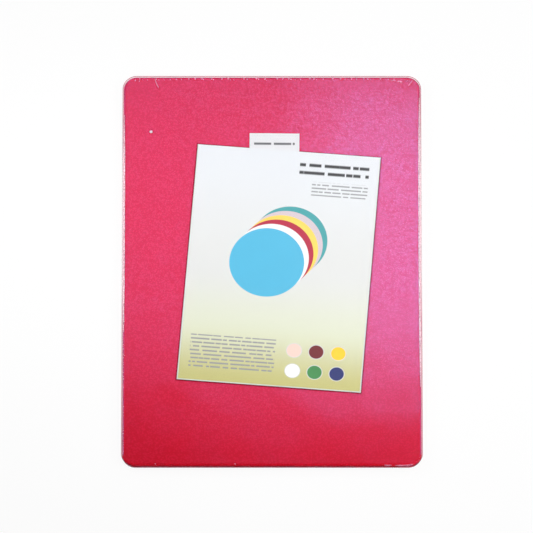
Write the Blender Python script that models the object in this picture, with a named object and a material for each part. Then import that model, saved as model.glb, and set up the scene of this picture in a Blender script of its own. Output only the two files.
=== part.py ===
"""Polyethylene cutting board in clear shrink film, with a paper insert and a size tag under the film.

The board lies flat, face up: X runs across it, Y along it and Z up from the surface it rests on. The origin
is in the middle of the underside. Metres throughout, degrees for turns.
"""

import math

import bmesh
import bpy

# Board: one moulded slab with rounded corners and rounded rims
BOARD_WIDTH = 0.350
BOARD_LENGTH = 0.500
BOARD_THICKNESS = 0.008
CORNER_RADIUS = 0.016
RIM_RADIUS = 0.0025

# Shrink film: a front and a back web, welded to each other in a narrow seal half way up the board's sides
FILM_THICKNESS = 0.00005
SEAL_WIDTH = 0.0012
VENT_RADIUS = 0.0015
VENT_FROM_SIDE = 0.0325
VENT_FROM_TOP_END = 0.072

# Paper insert, laid a little askew on the board's face
INSERT_WIDTH = 0.216
INSERT_LENGTH = 0.303
INSERT_THICKNESS = 0.00012
INSERT_SHIFT_X = 0.0084
INSERT_SHIFT_Y = 0.0023
INSERT_TURN = -4.62

# Size tag, tucked under the insert's top edge
TAG_WIDTH = 0.0587
TAG_LENGTH = 0.034
TAG_THICKNESS = 0.0001
TAG_SHOWING = 0.0215
TAG_SHIFT_X = -0.018
TAG_TURN = -0.6

# Clearance between pieces that lie against each other
CLEARANCE = 0.0003

# Fineness of the round stretches
CORNER_STEPS = 10
RIM_STEPS = 6
VENT_SIDES = 16

# Heights, from the surface that the film rests on to the top of the film
BOARD_BOTTOM = FILM_THICKNESS + CLEARANCE
BOARD_TOP = BOARD_BOTTOM + BOARD_THICKNESS
TAG_BOTTOM = BOARD_TOP + CLEARANCE
INSERT_BOTTOM = TAG_BOTTOM + TAG_THICKNESS + CLEARANCE
FILM_INSIDE_TOP = INSERT_BOTTOM + INSERT_THICKNESS + CLEARANCE
PACK_HEIGHT = FILM_INSIDE_TOP + FILM_THICKNESS
SEAL_HEIGHT = PACK_HEIGHT / 2


def clear_scene():
    for obj in list(bpy.data.objects):
        bpy.data.objects.remove(obj)


def make_material(name, colour, roughness, alpha=1.0):
    material = bpy.data.materials.new(name)
    material.use_nodes = True
    shader = material.node_tree.nodes["Principled BSDF"]
    shader.inputs["Base Color"].default_value = (*colour, 1.0)
    shader.inputs["Roughness"].default_value = roughness
    shader.inputs["Metallic"].default_value = 0.0
    shader.inputs["Alpha"].default_value = alpha
    material.diffuse_color = (*colour, alpha)
    return material


def add_object(name, bm, material, parent):
    """A named object from a bmesh, with its faces pointing out and its round stretches shaded smooth."""
    bmesh.ops.recalc_face_normals(bm, faces=bm.faces)
    mesh = bpy.data.meshes.new(name)
    bm.to_mesh(mesh)
    bm.free()
    mesh.shade_smooth()
    mesh.set_sharp_from_angle(angle=math.radians(30))
    mesh.materials.append(material)
    obj = bpy.data.objects.new(name, mesh)
    bpy.context.scene.collection.objects.link(obj)
    obj.parent = parent
    return obj


def board_outline(grown):
    """Points round the board's outline, moved outwards by grown, counter-clockwise from above."""
    radius = CORNER_RADIUS + grown
    points = []
    for corner, (side_x, side_y) in enumerate(((1, 1), (-1, 1), (-1, -1), (1, -1))):
        centre_x = side_x * (BOARD_WIDTH / 2 - CORNER_RADIUS)
        centre_y = side_y * (BOARD_LENGTH / 2 - CORNER_RADIUS)
        for step in range(CORNER_STEPS + 1):
            angle = math.radians(90) * (corner + step / CORNER_STEPS)
            points.append((centre_x + radius * math.cos(angle), centre_y + radius * math.sin(angle)))
    return points


def rim_arc(radius, rim_offset, face_height, face_side):
    """(offset, height) pairs from a flat face round its rim to the side; face_side is 1 above, -1 below."""
    pairs = []
    for step in range(RIM_STEPS + 1):
        angle = math.radians(90) * step / RIM_STEPS
        offset = rim_offset - radius * (1 - math.sin(angle))
        pairs.append((offset, face_height - face_side * radius * (1 - math.cos(angle))))
    return pairs


def add_ring(bm, offset, height):
    return [bm.verts.new((x, y, height)) for x, y in board_outline(offset)]


def sweep_round_board(profile):
    """The profile, as (offset, height) pairs, carried round the outline, with a flat face at each end."""
    bm = bmesh.new()
    rings = [add_ring(bm, offset, height) for offset, height in profile]
    count = len(rings[0])
    for lower, upper in zip(rings, rings[1:]):
        for i in range(count):
            j = (i + 1) % count
            bm.faces.new((lower[i], lower[j], upper[j], upper[i]))
    bm.faces.new(rings[0])
    bm.faces.new(rings[-1])
    return bm


def make_board(material, parent):
    rim = min(RIM_RADIUS, 0.45 * BOARD_THICKNESS)
    top = rim_arc(rim, 0.0, BOARD_TOP, 1)
    bottom = rim_arc(rim, 0.0, BOARD_BOTTOM, -1)
    return add_object("board", sweep_round_board(top + bottom[::-1]), material, parent)


def film_profile(facing):
    """Section through one web: round the rim, down the side, out along the seal and back up inside."""
    face = SEAL_HEIGHT + facing * PACK_HEIGHT / 2
    weld = SEAL_HEIGHT + facing * CLEARANCE / 2
    inside = CLEARANCE
    outside = CLEARANCE + FILM_THICKNESS
    inner_rim = min(RIM_RADIUS + CLEARANCE, 0.4 * PACK_HEIGHT)
    outer = rim_arc(inner_rim + FILM_THICKNESS, outside, face, facing)
    inner = rim_arc(inner_rim, inside, face - facing * FILM_THICKNESS, facing)
    seal = [
        (outside, weld + facing * FILM_THICKNESS),
        (outside + SEAL_WIDTH, weld + facing * FILM_THICKNESS),
        (outside + SEAL_WIDTH, weld),
        (inside, weld),
    ]
    return outer + seal + inner[::-1]


def make_vent_cutter(parent):
    bm = bmesh.new()
    bmesh.ops.create_cone(
        bm,
        cap_ends=True,
        segments=VENT_SIDES,
        radius1=VENT_RADIUS,
        radius2=VENT_RADIUS,
        depth=FILM_THICKNESS + CLEARANCE,
    )
    cutter = add_object("vent_cutter", bm, None, parent)
    cutter.location = (
        VENT_FROM_SIDE - BOARD_WIDTH / 2,
        BOARD_LENGTH / 2 - VENT_FROM_TOP_END,
        PACK_HEIGHT - FILM_THICKNESS / 2,
    )
    cutter.hide_render = True
    cutter.display_type = "WIRE"
    return cutter


def make_front_film(material, parent):
    film = add_object("front_film", sweep_round_board(film_profile(1)), material, parent)
    vent = film.modifiers.new("air_vent", "BOOLEAN")
    vent.operation = "DIFFERENCE"
    vent.object = make_vent_cutter(parent)
    return film


def make_back_film(material, parent):
    return add_object("back_film", sweep_round_board(film_profile(-1)), material, parent)


def make_sheet(name, width, length, thickness, material, parent):
    """A flat sheet with its origin in the middle of its underside."""
    bm = bmesh.new()
    corners = ((-1, -1), (1, -1), (1, 1), (-1, 1))
    points = [bm.verts.new((x * width / 2, y * length / 2, 0)) for x, y in corners]
    underside = bm.faces.new(points)
    raised = bmesh.ops.extrude_face_region(bm, geom=[underside])
    top_points = [element for element in raised["geom"] if isinstance(element, bmesh.types.BMVert)]
    bmesh.ops.translate(bm, verts=top_points, vec=(0, 0, thickness))
    return add_object(name, bm, material, parent)


def make_insert(material, parent):
    sheet = make_sheet("insert_sheet", INSERT_WIDTH, INSERT_LENGTH, INSERT_THICKNESS, material, parent)
    sheet.location = (INSERT_SHIFT_X, INSERT_SHIFT_Y, INSERT_BOTTOM)
    sheet.rotation_euler.z = math.radians(INSERT_TURN)
    return sheet


def make_tag(material, parent):
    tag = make_sheet("size_tag", TAG_WIDTH, TAG_LENGTH, TAG_THICKNESS, material, parent)
    turn = math.radians(INSERT_TURN)
    along = INSERT_LENGTH / 2 + TAG_SHOWING - TAG_LENGTH / 2
    tag.location = (
        INSERT_SHIFT_X + TAG_SHIFT_X * math.cos(turn) - along * math.sin(turn),
        INSERT_SHIFT_Y + TAG_SHIFT_X * math.sin(turn) + along * math.cos(turn),
        TAG_BOTTOM,
    )
    tag.rotation_euler.z = math.radians(TAG_TURN)
    return tag


def main():
    clear_scene()
    pack = bpy.data.objects.new("wrapped_board", None)
    bpy.context.scene.collection.objects.link(pack)
    polyethylene = make_material("red_polyethylene", (0.680, 0.021, 0.076), 0.45)
    clear_film = make_material("clear_film", (0.95, 0.96, 0.97), 0.08, alpha=0.12)
    printed_paper = make_material("printed_paper", (0.82, 0.83, 0.76), 0.5)
    tag_paper = make_material("tag_paper", (0.86, 0.88, 0.89), 0.6)
    make_board(polyethylene, pack)
    make_front_film(clear_film, pack)
    make_back_film(clear_film, pack)
    make_insert(printed_paper, pack)
    make_tag(tag_paper, pack)


main()
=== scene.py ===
"""Looks of the wrapped cutting board: stippled red polyethylene, printed papers and clear shrink film.

Lengths are in metres unless a comment says millimetres, and angles are in degrees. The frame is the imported
part's: X across the board, Y along it and Z up from the surface it lies on.
"""

import math

import bmesh
import bpy
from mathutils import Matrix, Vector, noise


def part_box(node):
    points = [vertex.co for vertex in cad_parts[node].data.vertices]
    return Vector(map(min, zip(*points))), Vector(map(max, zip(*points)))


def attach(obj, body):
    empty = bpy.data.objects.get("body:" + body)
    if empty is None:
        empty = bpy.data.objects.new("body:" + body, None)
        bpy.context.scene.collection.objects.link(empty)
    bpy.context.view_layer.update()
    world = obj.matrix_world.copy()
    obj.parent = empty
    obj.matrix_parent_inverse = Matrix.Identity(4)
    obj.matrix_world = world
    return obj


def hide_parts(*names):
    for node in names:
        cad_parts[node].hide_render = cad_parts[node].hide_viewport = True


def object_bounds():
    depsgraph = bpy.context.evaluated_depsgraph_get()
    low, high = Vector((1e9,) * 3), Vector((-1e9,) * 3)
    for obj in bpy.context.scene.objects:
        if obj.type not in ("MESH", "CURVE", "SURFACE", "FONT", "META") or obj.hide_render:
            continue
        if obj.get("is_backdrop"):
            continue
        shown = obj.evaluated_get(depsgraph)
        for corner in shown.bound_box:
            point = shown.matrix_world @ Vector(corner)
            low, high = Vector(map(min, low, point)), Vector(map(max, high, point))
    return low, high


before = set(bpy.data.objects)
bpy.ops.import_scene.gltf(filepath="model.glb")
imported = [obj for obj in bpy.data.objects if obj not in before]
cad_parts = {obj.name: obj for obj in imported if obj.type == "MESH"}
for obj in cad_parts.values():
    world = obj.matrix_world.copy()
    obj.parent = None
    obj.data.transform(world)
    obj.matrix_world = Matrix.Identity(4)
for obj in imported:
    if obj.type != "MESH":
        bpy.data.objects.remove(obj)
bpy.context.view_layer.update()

BODY = "root"

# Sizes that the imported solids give
BOARD_LOW, BOARD_HIGH = (Vector(corner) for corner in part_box("board"))
PACK_LOW, PACK_HIGH = (Vector(corner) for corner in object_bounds())
INSERT_LOW, INSERT_HIGH = (Vector(corner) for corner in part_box("insert_sheet"))
TAG_LOW, TAG_HIGH = (Vector(corner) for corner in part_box("size_tag"))
BOARD_SIZE = BOARD_HIGH - BOARD_LOW
SEAL_HEIGHT = (PACK_LOW.z + PACK_HIGH.z) / 2

# Sizes that can't be read from a box
CORNER_RADIUS = 0.016
RIM_RADIUS = 0.0025
FILM_THICKNESS = 0.00005
FILM_GAP = 0.0003
SEAL_WIDTH = 0.0009
SEAL_GATHER = 0.0012
SEAL_BEAD_RADIUS = 0.0004
INSERT_WIDTH = 0.216
INSERT_LENGTH = 0.303
INSERT_TURN = -4.62
TAG_WIDTH = 0.0587
TAG_LENGTH = 0.034
TAG_TURN = -0.6
VENT_FROM_SIDE = 0.0325
VENT_FROM_TOP_END = 0.072

# Core of the outline, inside its corner arcs, with its corners: far right, far left, near left, near right
CORE_X = BOARD_SIZE.x / 2 - CORNER_RADIUS
CORE_Y = BOARD_SIZE.y / 2 - CORNER_RADIUS
CORE_CORNERS = [Vector((x * CORE_X, y * CORE_Y)) for x, y in ((1, 1), (-1, 1), (-1, -1), (1, -1))]

# Camera: the photograph's viewing angle, far off with a long lens
CAMERA_ELEVATION = 66.0
CAMERA_DISTANCE = 16.0
FRAME_WIDTH = 0.6261
CAMERA_AIM = Vector((-0.0063, 0.0061, 0.0048))
SENSOR_WIDTH = 36.0


class Shader:
    """A material in the making. Each call adds a node, feeds its inputs and returns one of its outputs."""

    def __init__(self, name):
        self.material = bpy.data.materials.new(name)
        self.material.use_nodes = True
        self.tree = self.material.node_tree
        self.tree.nodes.clear()

    def add(self, kind, inputs=None, output=0, **settings):
        made = self.tree.nodes.new(kind)
        for key, value in settings.items():
            setattr(made, key, value)
        for key, value in (inputs or {}).items():
            self.feed(made.inputs[key], value)
        return made.outputs[output]

    def feed(self, socket, value):
        if isinstance(value, bpy.types.NodeSocket):
            self.tree.links.new(value, socket)
        else:
            socket.default_value = value

    def math(self, operation, first, second=0.0, third=0.0):
        inputs = {0: first, 1: second, 2: third}
        return self.add("ShaderNodeMath", inputs, operation=operation)

    def vector(self, operation, first, second=(0.0, 0.0, 0.0), output=0):
        return self.add("ShaderNodeVectorMath", {0: first, 1: second}, output, operation=operation)

    def ramp(self, value, low, high, to_low=0.0, to_high=1.0):
        inputs = {"Value": value, "From Min": low, "From Max": high, "To Min": to_low, "To Max": to_high}
        return self.add("ShaderNodeMapRange", inputs, interpolation_type="SMOOTHSTEP")

    def mix(self, share, first, second):
        """The first colour, giving way to the second as the share goes from 0 to 1."""
        made = self.tree.nodes.new("ShaderNodeMix")
        made.data_type = "RGBA"
        self.feed(made.inputs[0], share)
        colour_inputs = [socket for socket in made.inputs if socket.type == "RGBA"]
        for socket, value in zip(colour_inputs, (first, second)):
            self.feed(socket, value)
        return next(socket for socket in made.outputs if socket.type == "RGBA")

    def split(self, vector):
        """The X, Y and Z of a vector."""
        return list(self.add("ShaderNodeSeparateXYZ", {0: vector}).node.outputs)

    def place(self):
        """Coordinates in the piece's own frame, in metres."""
        return self.add("ShaderNodeTexCoord", output="Object")

    def noise(self, place, scale, detail=2.0, roughness=0.5):
        inputs = {"Vector": place, "Scale": scale, "Detail": detail, "Roughness": roughness}
        return self.add("ShaderNodeTexNoise", inputs)

    def bump(self, height, depth):
        return self.add("ShaderNodeBump", {"Height": height, "Distance": depth, "Strength": 1.0})

    def veil(self, share, surface):
        """A surface over clear film, of which the share given is seen."""
        clear = self.add("ShaderNodeBsdfTransparent")
        return self.add("ShaderNodeMixShader", {0: share, 1: clear, 2: surface})

    def finish(self, surface):
        output = self.tree.nodes.new("ShaderNodeOutputMaterial")
        self.feed(output.inputs["Surface"], surface)
        return self.material


def colour(red, green, blue):
    """A colour written as display values from 0 to 255, turned to the linear values that shaders take."""
    shares = [value / 255 for value in (red, green, blue)]
    linear = [s / 12.92 if s <= 0.04045 else ((s + 0.055) / 1.055) ** 2.4 for s in shares]
    return (*linear, 1.0)


def add_piece(name, bm, material, slot, *nodes):
    """A smooth-shaded piece that rides on the part's one body and stands for the CAD nodes named."""
    bmesh.ops.recalc_face_normals(bm, faces=bm.faces)
    mesh = bpy.data.meshes.new(name)
    bm.to_mesh(mesh)
    bm.free()
    mesh.shade_smooth()
    mesh.set_sharp_from_angle(angle=math.radians(40))
    mesh.materials.append(material)
    piece = bpy.data.objects.new(name, mesh)
    bpy.context.scene.collection.objects.link(piece)
    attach(piece, BODY)
    if nodes:
        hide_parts(*nodes)
    return piece


class Rail:
    """A station on the outline: a point of the core, the way out, the run so far and its corner, if any."""

    def __init__(self, core, angle, run, corner):
        self.core = core
        self.out = Vector((math.cos(angle), math.sin(angle)))
        self.run = run
        self.corner = corner

    def at(self, reach, height):
        place = self.core + self.out * reach
        return Vector((place.x, place.y, height))


def make_rails(spacing, corner_steps):
    """Stations round the outline, counter-clockwise from the lower end of the +X side."""
    steps_x = round(2 * CORE_X / spacing)
    steps_y = round(2 * CORE_Y / spacing)
    rails = []
    run = 0.0
    for side in range(4):
        start, end = CORE_CORNERS[side - 1], CORE_CORNERS[side]
        steps = steps_x if side % 2 else steps_y
        angle = math.radians(90 * side)
        length = (end - start).length
        for step in range(steps + 1):
            rails.append(Rail(start.lerp(end, step / steps), angle, run + length * step / steps, None))
        run += length
        for step in range(1, corner_steps):
            turn = step / corner_steps
            reach = CORNER_RADIUS * math.radians(90) * turn
            rails.append(Rail(end, angle + math.radians(90) * turn, run + reach, side))
        run += CORNER_RADIUS * math.radians(90)
    return rails, steps_x, steps_y


def sweep(bm, rails, profile):
    """Rings of points for (reach, height) pairs, joined by faces. Returns the first and last ring."""
    rings = [[bm.verts.new(rail.at(reach, height)) for rail in rails] for reach, height in profile]
    for inner, outer in zip(rings, rings[1:]):
        for i in range(len(rails)):
            j = (i + 1) % len(rails)
            bm.faces.new((inner[i], inner[j], outer[j], outer[i]))
    return rings[0], rings[-1]


# Board
BOARD_RIM_STEPS = 10
BOARD_SUPPORT = 0.0006
BOARD_RAIL_SPACING = 0.02
BOARD_CORNER_STEPS = 24
# Width of the painted shadow beside the insert, and the least share of the red and sheen left in it
PAINTED_SHADOW_WIDTH = 0.0026
PAINTED_SHADOW_LEVEL = 0.2
PEBBLE_SCALE = 480.0
RIPPLE_SCALE = 430.0
WARP_SCALE = 13.0
WARP_SHARE = 45.0
STIPPLE_DEPTH = 0.00002
BOARD_ROUGHNESS = 0.19
BOARD_IOR = 1.7
BOARD_RED = (224, 21, 45)
GRAIN_RED = (208, 16, 36)
# Red of the painted shadow beside the insert
PAINTED_SHADOW_RED = (96, 4, 14)
# Mauve of the painted sheen on the upper rim, where the lamps' sheen on the face runs out
PAINTED_RIM_SHEEN_MAUVE = (196, 62, 106)
SHEEN_TINT = (0.03, 0.37, 1.0, 1.0)

# Stipple heights between which the red turns to its grain and the sheen sinks, and the least sheens
GRAIN_RELIEF = (0.8, 1.1)
SHEEN_RELIEF = (0.75, 1.15)
GRAIN_SHEEN = 0.55
RIM_SHEEN = 0.15

# Limits on the normal that pick out the rounded upper rim, on Z, and leave out the near end, on Y
RIM_BELOW_FACE = (0.975, 0.9995)
RIM_ABOVE_SIDE = (0.1, 0.4)
RIM_PAST_NEAR_END = (-0.12, -0.02)


def board_profile():
    """Round the rim from the upper face to the underside, with a close loop inside each face's edge."""
    start = CORNER_RADIUS - RIM_RADIUS
    top = [(start - BOARD_SUPPORT, BOARD_HIGH.z)]
    bottom = [(start - BOARD_SUPPORT, BOARD_LOW.z)]
    for step in range(BOARD_RIM_STEPS + 1):
        angle = math.radians(90) * step / BOARD_RIM_STEPS
        reach = start + RIM_RADIUS * math.sin(angle)
        drop = RIM_RADIUS * (1 - math.cos(angle))
        top.append((reach, BOARD_HIGH.z - drop))
        bottom.append((reach, BOARD_LOW.z + drop))
    return top + bottom[::-1]


def painted_sheet_shadow(shader, place):
    """Painted shadow of the insert on the board: the share of the board's red left in a narrow dark band all
    round the sheet.
    """
    middle = (INSERT_LOW + INSERT_HIGH) / 2
    offset = shader.vector("SUBTRACT", place, middle)
    inputs = {"Vector": offset, "Angle": -math.radians(INSERT_TURN)}
    turned = shader.add("ShaderNodeVectorRotate", inputs, rotation_type="Z_AXIS")
    half_sheet = (INSERT_WIDTH / 2, INSERT_LENGTH / 2, 0.0)
    past = shader.vector("SUBTRACT", shader.vector("ABSOLUTE", turned), half_sheet)
    past_x, past_y, _ = shader.split(past)
    reach = shader.math("MAXIMUM", past_x, past_y)
    return shader.ramp(reach, 0.0, PAINTED_SHADOW_WIDTH, PAINTED_SHADOW_LEVEL, 1.0)


def rim_painted_sheen(shader):
    """The rounded upper rim as a mask, and the share of painted sheen on it: none at the near end."""
    _, towards_far, upwards = shader.split(shader.add("ShaderNodeTexCoord", output="Normal"))
    below_face = shader.ramp(upwards, *RIM_BELOW_FACE, 1.0, 0.0)
    above_side = shader.ramp(upwards, *RIM_ABOVE_SIDE)
    rim = shader.math("MULTIPLY", below_face, above_side)
    past_near_end = shader.ramp(towards_far, *RIM_PAST_NEAR_END)
    return rim, shader.math("MULTIPLY", rim, past_near_end)


def board_material():
    """Satin polyethylene with a moulded stipple, which breaks its sheen into grains, with a painted shadow
    beside the insert and a painted sheen on the upper rim.
    """
    shader = Shader("red_polyethylene")
    place = shader.place()
    inputs = {"Vector": place, "Scale": PEBBLE_SCALE, "Smoothness": 0.2}
    pebbles = shader.add("ShaderNodeTexVoronoi", inputs, feature="SMOOTH_F1")
    ripples = shader.noise(place, RIPPLE_SCALE, 2.0, 0.6)
    relief = shader.math("ADD", pebbles, ripples)
    warp = shader.noise(place, WARP_SCALE, 1.0)
    normal = shader.bump(shader.math("MULTIPLY_ADD", warp, WARP_SHARE, relief), STIPPLE_DEPTH)
    # Painted shadow beside the insert, darkening both the red and the sheen
    shade = painted_sheet_shadow(shader, place)
    grain = shader.ramp(relief, *GRAIN_RELIEF)
    red = shader.mix(grain, colour(*BOARD_RED), colour(*GRAIN_RED))
    red = shader.mix(shade, colour(*PAINTED_SHADOW_RED), red)
    # Painted sheen: the upper rim turns mauve, except at the near end
    rim, painted_rim_sheen = rim_painted_sheen(shader)
    red = shader.mix(painted_rim_sheen, red, colour(*PAINTED_RIM_SHEEN_MAUVE))
    sheen = shader.math("MULTIPLY", shader.ramp(relief, *SHEEN_RELIEF, 1.0, GRAIN_SHEEN), shade)
    sheen = shader.math("MULTIPLY", sheen, shader.ramp(rim, 0.0, 1.0, 1.0, RIM_SHEEN))
    surface = shader.add(
        "ShaderNodeBsdfPrincipled",
        {
            "Base Color": red,
            "Roughness": BOARD_ROUGHNESS,
            "IOR": BOARD_IOR,
            "Specular IOR Level": sheen,
            "Specular Tint": SHEEN_TINT,
            "Normal": normal,
        },
    )
    return shader.finish(surface)


def make_board():
    bm = bmesh.new()
    rails = make_rails(BOARD_RAIL_SPACING, BOARD_CORNER_STEPS)[0]
    for ring in sweep(bm, rails, board_profile()):
        bm.faces.new(ring)
    add_piece("board_slab", bm, board_material(), "red_polyethylene", "board")


# Shrink film
FILM_SPACING = 0.003
FILM_CORNER_STEPS = 24
BACK_SPACING = 0.012
BACK_CORNER_STEPS = 12
FILM_RIM_STEPS = 8
FILM_TOP = PACK_HIGH.z - FILM_THICKNESS / 2
FILM_RIM = RIM_RADIUS + FILM_GAP
FILM_SIDE = CORNER_RADIUS + FILM_GAP + FILM_THICKNESS / 2
SIDE_HEIGHT = 0.001
SEAL_BEAD_RISE = 0.0030
SEAL_BEAD_SIDES = 6

# Shares of the way from the core to the rim at which the face's bands end
FACE_REACHES = (0.15, 0.3, 0.45, 0.6, 0.72, 0.84, 0.93)

# The bead is faint about a place along each side and whole farther from it, and darker at the near end with
# painted shade
SEAL_WAIST = 0.06
SEAL_FAINT_REACH = 0.05
SEAL_WHOLE_REACH = 0.17
SEAL_SHARES = (0.25, 0.9)
SEAL_MAUVE = (196, 48, 100)
SEAL_NEAR_SHADE_RED = (112, 6, 22)

# How strongly the film is gathered at each corner: far right, far left, near left, near right
GATHERS = (1.0, 0.45, 0.35, 0.9)
GATHER_DEPTH = 0.00050
PUCKER_DEPTH = 0.00016
SLACK_DEPTH = 0.00006
GATHER_SPREAD = 0.014
FOLD_LIMIT = 0.0003
FOLDS_PER_METRE = 260
PUCKERS_PER_METRE = 150

# How much the film mirrors, face on and at a full slant, how rough that mirror is and how it ripples
FACE_MIRROR = 0.004
SLANT_MIRROR = 0.20
FILM_ROUGHNESS = 0.20
FILM_PEBBLE_SCALE = 520.0
FILM_WAVE_SCALE = 90.0
FILM_WAVE_SHARE = 1.5
FILM_WAVE_DEPTH = 0.00003


def gather_at(rail):
    """Share of the corner gathers felt at a rail: whole at a corner, fading along the sides."""
    if rail.corner is not None:
        return GATHERS[rail.corner]
    felt = 0.0
    for strength, corner in zip(GATHERS, CORE_CORNERS):
        felt += strength * math.exp(-(rail.core - corner).length / GATHER_SPREAD)
    return min(felt, 1.0)


def fold_height(rail, gather, share):
    """How far the film stands off at a rail, share of the way out from the flat core to the rim."""
    folds = noise.noise(Vector((rail.run * FOLDS_PER_METRE, 3.1, 0.7)))
    folds += 0.5 * noise.noise(Vector((rail.run * 2 * FOLDS_PER_METRE, 8.3, 2.2)))
    puckers = noise.noise(Vector((rail.run * PUCKERS_PER_METRE, 5.7, 1.9)))
    lift = GATHER_DEPTH * gather * (0.2 + folds) + PUCKER_DEPTH * (0.3 + puckers)
    return share**2 * max(-FOLD_LIMIT, min(FOLD_LIMIT, lift))


def slack_height(place):
    """Broad, shallow waves of film that isn't pulled quite flat."""
    slow = noise.noise(Vector((place.x * 14, place.y * 11, 4.2)))
    streaks = noise.noise(Vector((place.x * 60 + place.y * 25, place.y * 9, 9.4)))
    return SLACK_DEPTH * (slow + 0.6 * streaks)


def film_web(bm, spacing, corner_steps, facing, relief, vent=None):
    """One web: a grid over the flat core, bands out to the rim, the rim, the side and the seal's lip."""
    rails, steps_x, steps_y = make_rails(spacing, corner_steps)

    def raised(place, height):
        return Vector((place.x, place.y, SEAL_HEIGHT + facing * (FILM_TOP - SEAL_HEIGHT + height)))

    grid = []
    for i in range(steps_x + 1):
        column = []
        for j in range(steps_y + 1):
            place = Vector((CORE_X * (2 * i / steps_x - 1), CORE_Y * (2 * j / steps_y - 1)))
            column.append(bm.verts.new(raised(place, relief * slack_height(place))))
        grid.append(column)
    for i in range(steps_x):
        for j in range(steps_y):
            if vent != (i, j):
                bm.faces.new((grid[i][j], grid[i + 1][j], grid[i + 1][j + 1], grid[i][j + 1]))

    def grid_point(rail):
        i = round((rail.core.x / CORE_X + 1) / 2 * steps_x)
        j = round((rail.core.y / CORE_Y + 1) / 2 * steps_y)
        return grid[i][j]

    gathers = [gather_at(rail) for rail in rails]
    rings = [[grid_point(rail) for rail in rails]]
    flat_reach = FILM_SIDE - FILM_RIM
    for share in FACE_REACHES:
        ring = []
        for rail, gather in zip(rails, gathers):
            place = rail.at(flat_reach * share, 0.0)
            height = relief * (slack_height(place) + fold_height(rail, gather, share))
            ring.append(bm.verts.new(raised(place, height)))
        rings.append(ring)
    for step in range(FILM_RIM_STEPS + 1):
        angle = math.radians(90) * step / FILM_RIM_STEPS
        ring = []
        for rail, gather in zip(rails, gathers):
            lift = relief * fold_height(rail, gather, 1.0) * (1 - 0.7 * step / FILM_RIM_STEPS)
            place = rail.at(flat_reach + (FILM_RIM + lift) * math.sin(angle), 0.0)
            slack = relief * slack_height(place) * math.cos(angle)
            ring.append(bm.verts.new(raised(place, slack - FILM_RIM + (FILM_RIM + lift) * math.cos(angle))))
        rings.append(ring)
    for height, width in ((SIDE_HEIGHT, 0.0), (FILM_GAP / 2, 0.0), (FILM_GAP / 2, 1.0)):
        ring = []
        for rail, gather in zip(rails, gathers):
            lift = 0.3 * relief * fold_height(rail, gather, 1.0) * height / SIDE_HEIGHT
            reach = FILM_SIDE + lift + width * seal_width(rail, gather)
            ring.append(bm.verts.new(rail.at(reach, SEAL_HEIGHT + facing * height)))
        rings.append(ring)
    for inner, outer in zip(rings, rings[1:]):
        for i in range(len(rails)):
            j = (i + 1) % len(rails)
            loop = [inner[i], inner[j], outer[j], outer[i]]
            if inner[i] is inner[j]:
                loop.remove(inner[j])
            bm.faces.new(loop)


def seal_width(rail, gather):
    """Width of the trimmed seal, which is wider where the film is gathered."""
    wander = noise.noise(Vector((rail.run * 40, 1.3, 6.6)))
    return SEAL_WIDTH * (1 + 0.25 * wander) + SEAL_GATHER * gather * max(0.0, wander + 0.2)


def film_material():
    """Clear film: see-through, mirroring more at a slant, with fine waves in its face."""
    shader = Shader("clear_film")
    place = shader.place()
    facing = shader.add("ShaderNodeLayerWeight", {"Blend": 0.5}, "Facing")
    slant = shader.math("POWER", facing, 5.0)
    mirror = shader.math("MULTIPLY_ADD", slant, SLANT_MIRROR, FACE_MIRROR)
    pebbles = shader.noise(place, FILM_PEBBLE_SCALE)
    waves = shader.noise(place, FILM_WAVE_SCALE)
    relief = shader.math("MULTIPLY_ADD", waves, FILM_WAVE_SHARE, pebbles)
    normal = shader.bump(relief, FILM_WAVE_DEPTH)
    inputs = {"Color": (1.0, 1.0, 1.0, 1.0), "Roughness": FILM_ROUGHNESS, "Normal": normal}
    gloss = shader.add("ShaderNodeBsdfGlossy", inputs)
    return shader.finish(shader.veil(mirror, gloss))


def give_thickness(piece):
    solid = piece.modifiers.new("film_thickness", "SOLIDIFY")
    solid.thickness = FILM_THICKNESS
    solid.offset = 0.0


def make_film():
    """Both webs. The front one leaves out the cell of its grid that holds the air vent."""
    vent_x = VENT_FROM_SIDE - CORNER_RADIUS
    vent_y = 2 * CORE_Y - (VENT_FROM_TOP_END - CORNER_RADIUS)
    steps_x = round(2 * CORE_X / FILM_SPACING)
    steps_y = round(2 * CORE_Y / FILM_SPACING)
    vent = (int(vent_x / (2 * CORE_X) * steps_x), int(vent_y / (2 * CORE_Y) * steps_y))
    front = bmesh.new()
    film_web(front, FILM_SPACING, FILM_CORNER_STEPS, 1, 1.0, vent)
    clear = film_material()
    give_thickness(add_piece("front_web", front, clear, "clear_film", "front_film"))
    back = bmesh.new()
    film_web(back, BACK_SPACING, BACK_CORNER_STEPS, -1, 0.0)
    give_thickness(add_piece("back_web", back, clear, "clear_film", "back_film"))


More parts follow.
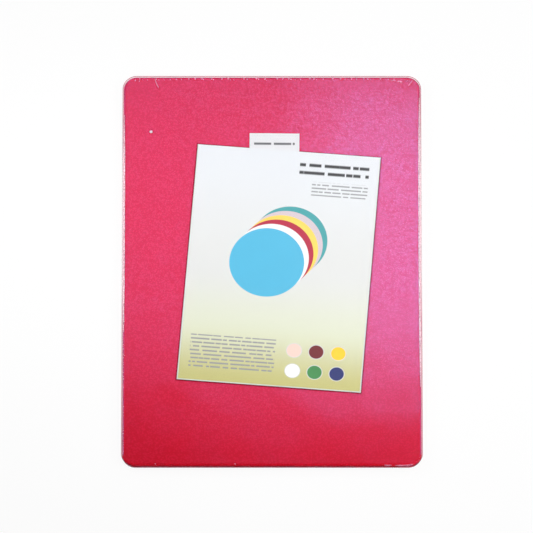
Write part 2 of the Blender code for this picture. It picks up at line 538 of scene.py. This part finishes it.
# Creases and glints in the film: points in board millimetres from the middle, then the half width
CREASES = (
    (((-138.3, 247.3), (-136.8, 242.0), (-133.6, 234.4)), 0.55),
    (((140.0, 244.0), (143.5, 244.6), (147.0, 243.8)), 0.6),
    (((147.5, 243.0), (150.5, 243.6), (154.5, 242.8)), 0.8),
    (((151.0, 240.6), (153.5, 242.6)), 0.4),
    (((160.6, 237.2), (164.0, 241.2), (166.4, 245.0)), 0.55),
    (((158.6, 243.4), (161.0, 244.6)), 0.5),
    (((-162.0, 243.6), (-160.8, 245.6)), 0.6),
    (((-157.0, 243.0), (-156.0, 244.8)), 0.5),
    (((143.5, -249.5), (153.0, -249.7), (160.0, -249.4), (165.5, -248.0)), 0.7),
    (((131.0, -249.3), (135.5, -249.6), (140.0, -249.4)), 0.6),
    (((-136.6, -247.4), (-135.4, -248.8)), 0.5),
    (((-43.6, -247.6), (-42.2, -248.8)), 0.5),
    # The two long ridges down the sides carry painted highlights of the film over the rim
    (((174.0, 222.0), (173.8, 110.0), (173.8, -30.0), (174.0, -150.0)), 1.4),
    (((-173.9, 200.0), (-173.8, 110.0), (-173.8, 10.0), (-173.9, -80.0)), 1.0),
)
CREASE_RISE = 0.00025
CREASE_STEPS = 12
CREASE_FLECK_SCALE = 700.0
CREASE_SHARES = (0.35, 0.8)
CREASE_PINK_AND_GLINT = (255, 158, 196)
PAINTED_SIDE_GLINT = (250, 224, 235)
SIDE_GLINT_FROM = 0.168
SIDE_GLINT_WHOLE = 0.172
TICK_SPACING = 0.0064
TICK_LENGTH = 0.0030
TICK_INSET = 0.0046
TICK_WIDTH = 0.0009
TICK_WANDER = 0.0012
TICK_MEAN = 0.8
VENT_RING_RADIUS = 0.0010
VENT_RING_THICKNESS = 0.0007
VENT_RING_FLATNESS = 0.5
VENT_RING_STEPS = 24
VENT_RING_SIDES = 8
VENT_WHITE_AND_GLINT = (228, 205, 214)


def film_height(place):
    """Height of the smooth film above a point: flat inside the rim and falling round it."""
    over_x = max(abs(place.x) - CORE_X, 0.0)
    over_y = max(abs(place.y) - CORE_Y, 0.0)
    past = (math.hypot(over_x, over_y) - FILM_SIDE + FILM_RIM) / FILM_RIM
    share = min(max(past, 0.0), 0.99)
    return FILM_TOP - FILM_RIM * (1 - math.sqrt(1 - share**2))


def add_crease(bm, points, half_width):
    """A low ridge along a line through the points, tapering to nothing at both ends."""
    rows = []
    for step in range(CREASE_STEPS + 1):
        along = step / CREASE_STEPS * (len(points) - 1)
        first = min(int(along), len(points) - 2)
        run = points[first + 1] - points[first]
        across = Vector((-run.y, run.x)).normalized()
        middle = points[first] + run * (along - first)
        taper = min(1.0, 1.5 * math.sin(math.pi * (0.04 + 0.92 * step / CREASE_STEPS)))
        row = []
        for side, rise in ((-1, 0.0), (0, CREASE_RISE), (1, 0.0)):
            place = middle + across * (side * half_width * taper)
            row.append(bm.verts.new((place.x, place.y, film_height(place) + rise * taper)))
        rows.append(row)
    for row, following in zip(rows, rows[1:]):
        for i in range(2):
            bm.faces.new((row[i], row[i + 1], following[i + 1], following[i]))


def crease_and_glint_material():
    """Film pulled into ridges, pale partly from its whitening and partly as painted glints: pink over the
    face, and paler along the two sides, where the long ridges carry painted highlights.
    """
    shader = Shader("creased_film")
    place = shader.place()
    flecks = shader.noise(place, CREASE_FLECK_SCALE)
    across = shader.math("ABSOLUTE", shader.split(place)[0])
    at_side = shader.ramp(across, SIDE_GLINT_FROM, SIDE_GLINT_WHOLE)
    tint = shader.mix(at_side, colour(*CREASE_PINK_AND_GLINT), colour(*PAINTED_SIDE_GLINT))
    share = shader.ramp(flecks, 0.3, 0.7, *CREASE_SHARES)
    pale = shader.add("ShaderNodeBsdfPrincipled", {"Base Color": tint, "Roughness": 0.3})
    return shader.finish(shader.veil(share, pale))


def add_ticks(bm):
    """Small puckers at uneven intervals along the far end of the board, pale with painted glints."""
    for tick in range(int(2 * CORE_X / TICK_SPACING)):
        wander = noise.noise(Vector((tick * 1.7, 2.3, 5.1)))
        x = TICK_SPACING * (tick + 0.5 + wander) - CORE_X
        start = Vector((x, BOARD_SIZE.y / 2 - TICK_INSET + TICK_WANDER * wander))
        run = Vector((TICK_LENGTH * wander, TICK_LENGTH * (TICK_MEAN + wander)))
        add_crease(bm, [start, start + run], TICK_WIDTH * (TICK_MEAN + wander))


def make_creases():
    bm = bmesh.new()
    for points, half_width in CREASES:
        add_crease(bm, [Vector(point) / 1000 for point in points], half_width / 1000)
    add_ticks(bm)
    add_piece("film_creases", bm, crease_and_glint_material(), "clear_film")


def fused_film_material():
    """Film melted to a line, faint about its waist and darkened along the near end with painted shade."""
    shader = Shader("fused_film")
    along = shader.split(shader.place())[1]
    from_waist = shader.math("ABSOLUTE", shader.math("SUBTRACT", along, SEAL_WAIST))
    share = shader.ramp(from_waist, SEAL_FAINT_REACH, SEAL_WHOLE_REACH, *SEAL_SHARES)
    past_near_end = shader.ramp(along, BOARD_LOW.y, BOARD_LOW.y + CORNER_RADIUS)
    tint = shader.mix(past_near_end, colour(*SEAL_NEAR_SHADE_RED), colour(*SEAL_MAUVE))
    inputs = {"Base Color": tint, "Roughness": 0.6, "Specular IOR Level": 0.1}
    fused = shader.add("ShaderNodeBsdfPrincipled", inputs)
    return shader.finish(shader.veil(share, fused))


def make_seal_bead():
    """The fused edge of the seal, drawn tight round the sides."""
    rails = make_rails(BOARD_RAIL_SPACING, BOARD_CORNER_STEPS)[0]
    profile = []
    for part in range(SEAL_BEAD_SIDES + 1):
        angle = math.radians(360) * part / SEAL_BEAD_SIDES
        reach = FILM_SIDE + SEAL_BEAD_RADIUS * (1 + math.cos(angle))
        profile.append((reach, SEAL_HEIGHT + SEAL_BEAD_RISE + SEAL_BEAD_RADIUS * math.sin(angle)))
    bm = bmesh.new()
    sweep(bm, rails, profile)
    bmesh.ops.remove_doubles(bm, verts=bm.verts, dist=0.000001)
    add_piece("seal_bead", bm, fused_film_material(), "clear_film")


def make_vent_ring():
    """The rolled edge that the heat leaves round the air vent, pale partly from whitened film and partly as
    a painted glint.
    """
    middle = Vector((VENT_FROM_SIDE - BOARD_SIZE.x / 2, BOARD_SIZE.y / 2 - VENT_FROM_TOP_END, FILM_TOP))
    bm = bmesh.new()
    rings = []
    for step in range(VENT_RING_STEPS):
        turn = math.radians(360) * step / VENT_RING_STEPS
        out = Vector((math.cos(turn), math.sin(turn), 0.0))
        ring = []
        for part in range(VENT_RING_SIDES):
            angle = math.radians(360) * part / VENT_RING_SIDES
            reach = VENT_RING_RADIUS + VENT_RING_THICKNESS * math.cos(angle)
            rise = VENT_RING_FLATNESS * VENT_RING_THICKNESS * math.sin(angle)
            ring.append(bm.verts.new(middle + out * reach + Vector((0.0, 0.0, rise))))
        rings.append(ring)
    for ring, following in zip(rings, rings[1:] + rings[:1]):
        for part in range(VENT_RING_SIDES):
            other = (part + 1) % VENT_RING_SIDES
            bm.faces.new((ring[part], ring[other], following[other], following[part]))
    shader = Shader("whitened_film_and_glint")
    inputs = {"Base Color": colour(*VENT_WHITE_AND_GLINT), "Roughness": 0.35}
    white = shader.add("ShaderNodeBsdfPrincipled", inputs)
    add_piece("vent_ring", bm, shader.finish(white), "clear_film")


# Papers
INSERT_STEPS = (36, 50)
INSERT_CURL = 0.00005
TAG_STEPS = (12, 8)
TAG_CURL = 0.00003
CURL_SCALE = 18
FIBRE_SCALE = 900.0
FIBRE_DEPTH = 0.00002
PAPER_ROUGHNESS = 0.55
TAG_WHITE = (221, 221, 225)
TAG_SHADE = (213, 213, 217)


def make_sheet_mesh(width, length, thickness, steps_x, steps_y, curl):
    """A sheet of paper with a slight curl, as a closed solid about its own middle."""
    bm = bmesh.new()
    layers = []
    for level in (0.0, thickness):
        layer = []
        for i in range(steps_x + 1):
            x = width * (i / steps_x - 0.5)
            column = []
            for j in range(steps_y + 1):
                y = length * (j / steps_y - 0.5)
                wave = noise.noise(Vector((x * CURL_SCALE, y * CURL_SCALE, 2.7)))
                column.append(bm.verts.new((x, y, level + curl * wave)))
            layer.append(column)
        layers.append(layer)
    for layer in layers:
        for i in range(steps_x):
            for j in range(steps_y):
                bm.faces.new((layer[i][j], layer[i + 1][j], layer[i + 1][j + 1], layer[i][j + 1]))
    under, over = layers
    border = [(i, 0) for i in range(steps_x)] + [(steps_x, j) for j in range(steps_y)]
    border += [(i, steps_y) for i in range(steps_x, 0, -1)] + [(0, j) for j in range(steps_y, 0, -1)]
    for (i, j), (k, m) in zip(border, border[1:] + border[:1]):
        bm.faces.new((under[i][j], under[k][m], over[k][m], over[i][j]))
    return bm


# Print on the insert: a generic design in sheet millimetres from the sheet's middle
PRINT_EDGE = 0.3
SKY_WHITE = (218, 221, 226)
PAPER_WHITE = (213, 214, 213)
WARM_WHITE = (216, 220, 197)
KHAKI = (197, 192, 124)
RING_COLOURS = (
    (64, 156, 160),
    (203, 188, 196),
    (238, 205, 92),
    (176, 28, 62),
    (234, 234, 234),
    (76, 176, 212),
)
RING_RADIUS = 44.0
RING_FIRST = (10.0, 36.0)
RING_STEP = (-5.0, -6.0)
DOT_COLOURS = (
    (240, 208, 196),
    (112, 26, 34),
    (248, 204, 44),
    (250, 250, 246),
    (66, 140, 78),
    (38, 48, 112),
)
DOT_RADIUS = 8.5
DOT_BORDER = 0.9
DOT_FIRST = (26.0, -104.0)
DOT_PITCH = 26.0
DOTS_IN_ROW = 3
INK = (52, 52, 56)
GREY_INK = (150, 152, 154)
TAG_INK = (100, 100, 104)

# Washes of colour along the sheet, from where each begins to where it is whole
WARM_WASH = (0.0, -90.0)
KHAKI_WASH_FROM = -70.0

# A white margin down both sides and along the near end; at the far end the print runs past the edge
SHEET_MARGIN = 1.3
PAST_FAR_END = 200.0

# Rows of blocks: left, low, right and high limits, then the pitch of the rows and the length of a word
HEADING = (14.0, 118.0, 96.0, 138.0, 10.0, 9.0)
SUBHEADING = (30.0, 96.0, 96.0, 114.0, 4.5, 5.0)
TEXT_BLOCK = (-96.0, -134.0, 4.0, -92.0, 5.0, 5.0)
TAG_ROW = (-24.0, 0.0, 24.0, 7.0, 7.0, 6.0)

# Share of each row that is inked, with the softness of its edge, and what sets words apart and rows off
ROW_INK = (0.3, 0.7, 0.1)
WORD_BREAK = (0.36, 0.40)
ROW_SHIFT = 37.3


class Print(Shader):
    """A printed sheet: the colour so far, to which each call adds a shape. Places are in millimetres."""

    def __init__(self, name):
        super().__init__(name)
        self.metres = self.place()
        inputs = {0: self.metres, "Scale": 1000.0}
        self.millimetres = self.add("ShaderNodeVectorMath", inputs, operation="SCALE")
        self.x, self.y, _ = self.split(self.millimetres)
        self.shade = None

    def paint(self, mask, tint):
        self.shade = self.mix(mask, self.shade, colour(*tint))

    def within(self, value, low, high, edge=PRINT_EDGE):
        """1 between the two limits and 0 outside, with soft edges."""
        rise = self.ramp(value, low - edge, low + edge)
        fall = self.ramp(value, high - edge, high + edge, 1.0, 0.0)
        return self.math("MULTIPLY", rise, fall)

    def disc(self, x, y, radius):
        reach = self.vector("DISTANCE", self.millimetres, (x, y, 0.0), "Value")
        return self.ramp(reach, radius - PRINT_EDGE, radius + PRINT_EDGE, 1.0, 0.0)

    def bar(self, left, low, right, high):
        return self.math("MULTIPLY", self.within(self.x, left, right), self.within(self.y, low, high))

    def word_rows(self, left, low, right, high, pitch, word):
        """Rows of blocks of uneven length that stand for lines of text."""
        row = self.math("DIVIDE", self.y, pitch)
        in_row = self.within(self.math("FRACT", row), *ROW_INK)
        number = self.math("FLOOR", row)
        along = self.math("MULTIPLY_ADD", number, ROW_SHIFT, self.math("DIVIDE", self.x, word))
        inputs = {"W": along, "Scale": 1.0, "Detail": 1.0}
        spaces = self.add("ShaderNodeTexNoise", inputs, noise_dimensions="1D")
        words = self.ramp(spaces, *WORD_BREAK)
        rows = self.math("MULTIPLY", in_row, words)
        return self.math("MULTIPLY", rows, self.bar(left, low, right, high))

    def fibres(self):
        return self.noise(self.metres, FIBRE_SCALE, 3.0)

    def finish_paper(self):
        normal = self.bump(self.fibres(), FIBRE_DEPTH)
        inputs = {"Base Color": self.shade, "Roughness": PAPER_ROUGHNESS, "Normal": normal}
        return self.finish(self.add("ShaderNodeBsdfPrincipled", inputs))


def insert_material():
    sheet = Print("printed_paper")
    half_width, half_length = INSERT_WIDTH * 500, INSERT_LENGTH * 500
    sheet.shade = sheet.mix(sheet.ramp(sheet.y, 0.0, half_length), colour(*PAPER_WHITE), colour(*SKY_WHITE))
    sheet.paint(sheet.ramp(sheet.y, *WARM_WASH), WARM_WHITE)
    sheet.paint(sheet.ramp(sheet.y, KHAKI_WASH_FROM, -half_length), KHAKI)
    for place, tint in enumerate(RING_COLOURS):
        x, y = (first + step * place for first, step in zip(RING_FIRST, RING_STEP))
        sheet.paint(sheet.disc(x, y, RING_RADIUS), tint)
    for place, tint in enumerate(DOT_COLOURS):
        x = DOT_FIRST[0] + DOT_PITCH * (place % DOTS_IN_ROW)
        y = DOT_FIRST[1] - DOT_PITCH * (place // DOTS_IN_ROW)
        sheet.paint(sheet.disc(x, y, DOT_RADIUS + DOT_BORDER), PAPER_WHITE)
        sheet.paint(sheet.disc(x, y, DOT_RADIUS), tint)
    sheet.paint(sheet.word_rows(*HEADING), INK)
    sheet.paint(sheet.word_rows(*SUBHEADING), GREY_INK)
    sheet.paint(sheet.word_rows(*TEXT_BLOCK), GREY_INK)
    side, near = half_width - SHEET_MARGIN, half_length - SHEET_MARGIN
    inside = sheet.bar(-side, -near, side, PAST_FAR_END)
    sheet.paint(sheet.math("SUBTRACT", 1.0, inside), PAPER_WHITE)
    return sheet.finish_paper()


def tag_material():
    slip = Print("tag_paper")
    slip.shade = slip.mix(slip.fibres(), colour(*TAG_WHITE), colour(*TAG_SHADE))
    slip.paint(slip.word_rows(*TAG_ROW), TAG_INK)
    return slip.finish_paper()


def lay_sheet(piece, low, high, turn):
    """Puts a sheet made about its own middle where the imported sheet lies, given that sheet's box."""
    piece.location = ((low.x + high.x) / 2, (low.y + high.y) / 2, low.z)
    piece.rotation_euler.z = math.radians(turn)


def make_papers():
    thickness = INSERT_HIGH.z - INSERT_LOW.z
    bm = make_sheet_mesh(INSERT_WIDTH, INSERT_LENGTH, thickness, *INSERT_STEPS, INSERT_CURL)
    insert = add_piece("insert_print", bm, insert_material(), "printed_paper", "insert_sheet")
    lay_sheet(insert, INSERT_LOW, INSERT_HIGH, INSERT_TURN)
    thickness = TAG_HIGH.z - TAG_LOW.z
    bm = make_sheet_mesh(TAG_WIDTH, TAG_LENGTH, thickness, *TAG_STEPS, TAG_CURL)
    tag = add_piece("tag_slip", bm, tag_material(), "tag_paper", "size_tag")
    lay_sheet(tag, TAG_LOW, TAG_HIGH, TAG_TURN)


# Stage, light and camera
FLOOR_RADIUS = 12.0
FLOOR_DROP = 0.0002
FLOOR_SIDES = 64
FLOOR_GLOW = 0.93
FLOOR_WHITE = (240, 240, 240)

# Light from the room and from its dark patch of ceiling, with the cosines between which the patch fades in
ROOM_LEVEL = 0.44
CEILING_LEVEL = 0.02
CEILING_FADE = (0.60, 0.85)


def make_floor():
    """A white floor that keeps the board's shadow: most of what is seen of it is an even white."""
    shader = Shader("white_floor")
    path = shader.tree.nodes.new("ShaderNodeLightPath").outputs
    seen = shader.math("MAXIMUM", path["Is Camera Ray"], path["Is Glossy Ray"])
    seen = shader.math("MAXIMUM", seen, path["Is Transmission Ray"])
    share = shader.math("MULTIPLY", seen, FLOOR_GLOW)
    matt = shader.add("ShaderNodeBsdfDiffuse", {"Color": colour(*FLOOR_WHITE)})
    white = shader.add("ShaderNodeEmission", {"Color": (1.0, 1.0, 1.0, 1.0), "Strength": 1.0})
    material = shader.finish(shader.add("ShaderNodeMixShader", {0: share, 1: matt, 2: white}))
    bm = bmesh.new()
    bmesh.ops.create_circle(bm, cap_ends=True, segments=FLOOR_SIDES, radius=FLOOR_RADIUS)
    bmesh.ops.translate(bm, verts=bm.verts, vec=(0, 0, PACK_LOW.z - FLOOR_DROP))
    mesh = bpy.data.meshes.new("floor")
    bm.to_mesh(mesh)
    bm.free()
    mesh.materials.append(material)
    floor = bpy.data.objects.new("floor", mesh)
    bpy.context.scene.collection.objects.link(floor)
    floor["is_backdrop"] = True


def make_world():
    """A pale room with a dark patch of ceiling where the board's face would mirror it to the camera."""
    world = bpy.data.worlds.new("studio")
    bpy.context.scene.world = world
    world.use_nodes = True
    tree = world.node_tree
    tree.nodes.clear()
    direction = tree.nodes.new("ShaderNodeTexCoord")
    patch = tree.nodes.new("ShaderNodeVectorMath")
    patch.operation = "DOT_PRODUCT"
    elevation = math.radians(CAMERA_ELEVATION)
    patch.inputs[1].default_value = (0.0, math.cos(elevation), math.sin(elevation))
    fade = tree.nodes.new("ShaderNodeMapRange")
    fade.interpolation_type = "SMOOTHSTEP"
    fade.inputs["From Min"].default_value = CEILING_FADE[0]
    fade.inputs["From Max"].default_value = CEILING_FADE[1]
    fade.inputs["To Min"].default_value = ROOM_LEVEL
    fade.inputs["To Max"].default_value = CEILING_LEVEL
    back = tree.nodes.new("ShaderNodeBackground")
    out = tree.nodes.new("ShaderNodeOutputWorld")
    tree.links.new(direction.outputs["Generated"], patch.inputs[0])
    tree.links.new(patch.outputs["Value"], fade.inputs["Value"])
    tree.links.new(fade.outputs[0], back.inputs["Strength"])
    tree.links.new(back.outputs[0], out.inputs["Surface"])


def add_softbox(name, place, target, width, length, radiance, spread=180.0):
    """A rectangular lamp of the radiance given, turned towards a point. A grid can narrow its spread."""
    lamp = bpy.data.lights.new(name, "AREA")
    lamp.shape = "RECTANGLE"
    lamp.size = width
    lamp.size_y = length
    lamp.energy = radiance * math.pi * width * length
    lamp.spread = math.radians(spread)
    box = bpy.data.objects.new(name, lamp)
    box.location = place
    box.rotation_euler = (Vector(target) - Vector(place)).to_track_quat("-Z", "Y").to_euler()
    box.visible_camera = False
    bpy.context.scene.collection.objects.link(box)


def make_lights():
    make_world()
    add_softbox("ceiling_panel", (0.10, 0.506, 0.80), (0.10, 0.15, 0.0), 0.80, 0.54, 1.22)
    add_softbox("key", (0.21, 0.40, 0.80), (0.21, 0.04, 0.0), 0.32, 0.37, 2.9)
    add_softbox("near_panel", (-0.025, 0.200, 0.80), (-0.025, -0.16, 0.0), 0.13, 0.10, 0.5)
    add_softbox("left_key", (-0.71, 0.18, 0.48), (-0.07, 0.03, 0.0), 0.40, 0.40, 1.31, 60.0)
    add_softbox("right_fill", (0.71, -0.30, 0.54), (0.08, -0.02, 0.0), 0.60, 0.60, 0.86, 60.0)
    add_softbox("left_strip", (-0.80, 0.415, 0.54), (-0.175, 0.05, 0.01), 0.12, 0.22, 9.0)
    add_softbox("right_strip", (0.80, 0.355, 0.54), (0.175, 0.0, 0.01), 0.12, 0.30, 18.0)


def make_camera():
    data = bpy.data.cameras.new("camera")
    data.sensor_width = SENSOR_WIDTH
    data.lens = SENSOR_WIDTH * CAMERA_DISTANCE / FRAME_WIDTH
    data.clip_start = 0.1
    data.clip_end = 2 * CAMERA_DISTANCE
    camera = bpy.data.objects.new("camera", data)
    elevation = math.radians(CAMERA_ELEVATION)
    back = Vector((0.0, -math.cos(elevation), math.sin(elevation)))
    camera.location = CAMERA_AIM + back * CAMERA_DISTANCE
    camera.rotation_euler = (-back).to_track_quat("-Z", "Y").to_euler()
    bpy.context.scene.collection.objects.link(camera)
    bpy.context.scene.camera = camera


make_board()
make_papers()
make_film()
make_creases()
make_seal_bead()
make_vent_ring()
make_floor()
make_lights()
make_camera()
bpy.context.scene.view_settings.view_transform = "Standard"
